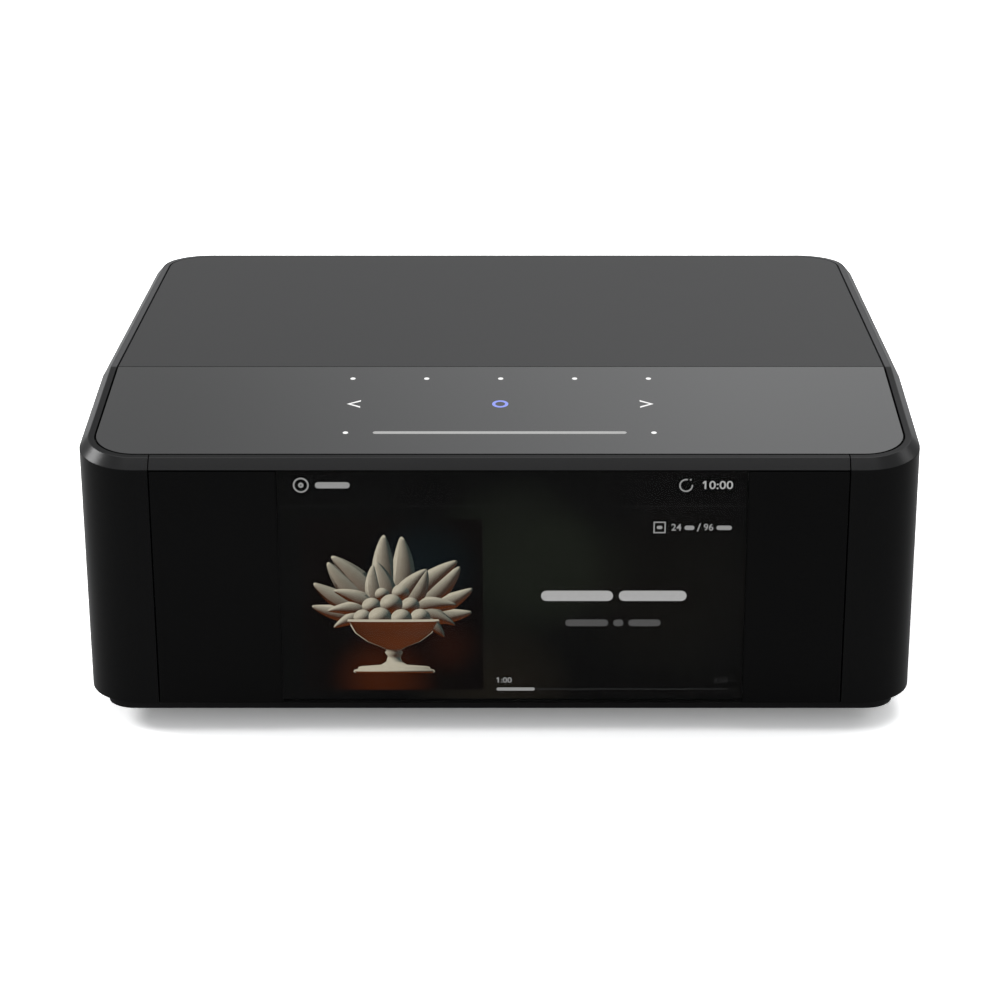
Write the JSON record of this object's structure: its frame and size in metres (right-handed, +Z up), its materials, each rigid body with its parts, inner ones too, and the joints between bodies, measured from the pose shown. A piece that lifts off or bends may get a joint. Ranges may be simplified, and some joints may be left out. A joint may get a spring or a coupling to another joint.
{
  "type": "network music streamer",
  "caption": "Low rounded casing with a full glass front over a display, a sloping touch panel and a flat deck on top, rear sockets, a recessed plinth and rubber feet.",
  "frame": {"origin": "on the table under the middle of the whole object's box, rear jacks included", "axes": "+X to the right seen from the front, +Y backwards away from the display, +Z up"},
  "size_m": [0.22, 0.193, 0.0847],
  "materials": {
    "casing_metal": "satin dark grey coat",
    "smoked_glass": "glossy smoked glass",
    "black_tape": "matt",
    "touch_glass": "glossy back painted glass",
    "deck_finish": "fine matt",
    "zinc_sheet": "plated sheet",
    "base_moulding": "matt moulded",
    "foot_rubber": "matt",
    "screw_steel": "blackened",
    "panel_finish": "fine texture",
    "display_glass": "display pane",
    "pressed_steel": "pressed",
    "ribbon_film": "flexible film",
    "sensor_film": "clear film",
    "black_moulding": "moulded",
    "white_diffuser": "translucent",
    "board_laminate": "solder resist",
    "white_moulding": "moulded",
    "chip_moulding": "moulded",
    "black_aluminium": "black anodised",
    "antenna_film": "flexible film",
    "lead_jacket": "jacket",
    "film_case": "moulded case",
    "clear_sheet": "insulating film",
    "ferrite": "ferrite",
    "winding_tape": "tape wrapped",
    "can_sleeve": "sleeved can",
    "fuse_glass": "glass tube",
    "plated_brass": "nickel plated",
    "gilt_contact": "gilt",
    "shutter_moulding": "moulded",
    "jack_colours": "coloured inserts",
    "button_moulding": "moulded"
  },
  "bodies": {
    "casing": {"wrap_shell": "casing_metal", "front_frame": "casing_metal", "front_glass": "smoked_glass", "glass_tape": "black_tape", "touch_panel": "touch_glass", "top_deck": "deck_finish", "fold_beam": "zinc_sheet", "bottom_cover": "base_moulding", "rubber_feet": "foot_rubber", "case_screws": "screw_steel", "rear_panel": "panel_finish", "chassis_tray": "zinc_sheet", "board_standoffs": "screw_steel", "inner_screws": "screw_steel", "display_panel": "display_glass", "display_backlight": "pressed_steel", "display_bracket": "zinc_sheet", "display_ribbon": "ribbon_film", "touch_sensor": "sensor_film", "light_frame": "black_moulding", "mark_diffusers": "white_diffuser", "touch_board": "board_laminate", "touch_ribbon": "ribbon_film", "board_plugs": "white_moulding", "main_board": "board_laminate", "main_chips": "chip_moulding", "heat_sink": "black_aluminium", "wireless_module": "pressed_steel", "antennas": "antenna_film", "antenna_leads": "lead_jacket", "audio_board": "board_laminate", "converter_shield": "pressed_steel", "output_relays": "black_moulding", "film_capacitors": "film_case", "power_board": "board_laminate", "insulating_sheet": "clear_sheet", "transformer_core": "ferrite", "transformer_winding": "winding_tape", "power_capacitors": "can_sleeve", "noise_choke": "ferrite", "mains_fuse": "fuse_glass", "power_heat_sink": "black_aluminium", "power_transistors": "chip_moulding", "supply_harness": "lead_jacket", "mains_inlet": "black_moulding", "mains_pins": "plated_brass", "network_socket": "pressed_steel", "network_contacts": "gilt_contact", "data_socket": "pressed_steel", "tv_socket": "pressed_steel", "socket_tongues": "black_moulding", "optical_socket": "black_moulding", "phono_block": "black_moulding", "phono_barrels": "gilt_contact", "phono_insulators": "jack_colours", "small_jacks": "black_moulding", "button_switch": "black_moulding"},
    "button": {"service_button": "button_moulding", "switch_plunger": "white_moulding"},
    "shutter": {"optical_shutter": "shutter_moulding"}
  },
  "joints": [
    {"name": "button_press", "type": "slide", "parent": "casing", "child": "button", "axis": [0, -1, 0], "range_m": [0, 0.0005], "stiffness_N_per_m": 600, "springref_m": -0.001},
    {"name": "shutter_swing", "type": "hinge", "parent": "casing", "child": "shutter", "pos_m": [-0.05191, 0.0862, 0.0287], "axis": [-1, 0, 0], "range_deg": [0, 82], "stiffness_Nm_per_rad": 0.0004, "springref_deg": -20.05}
  ]
}
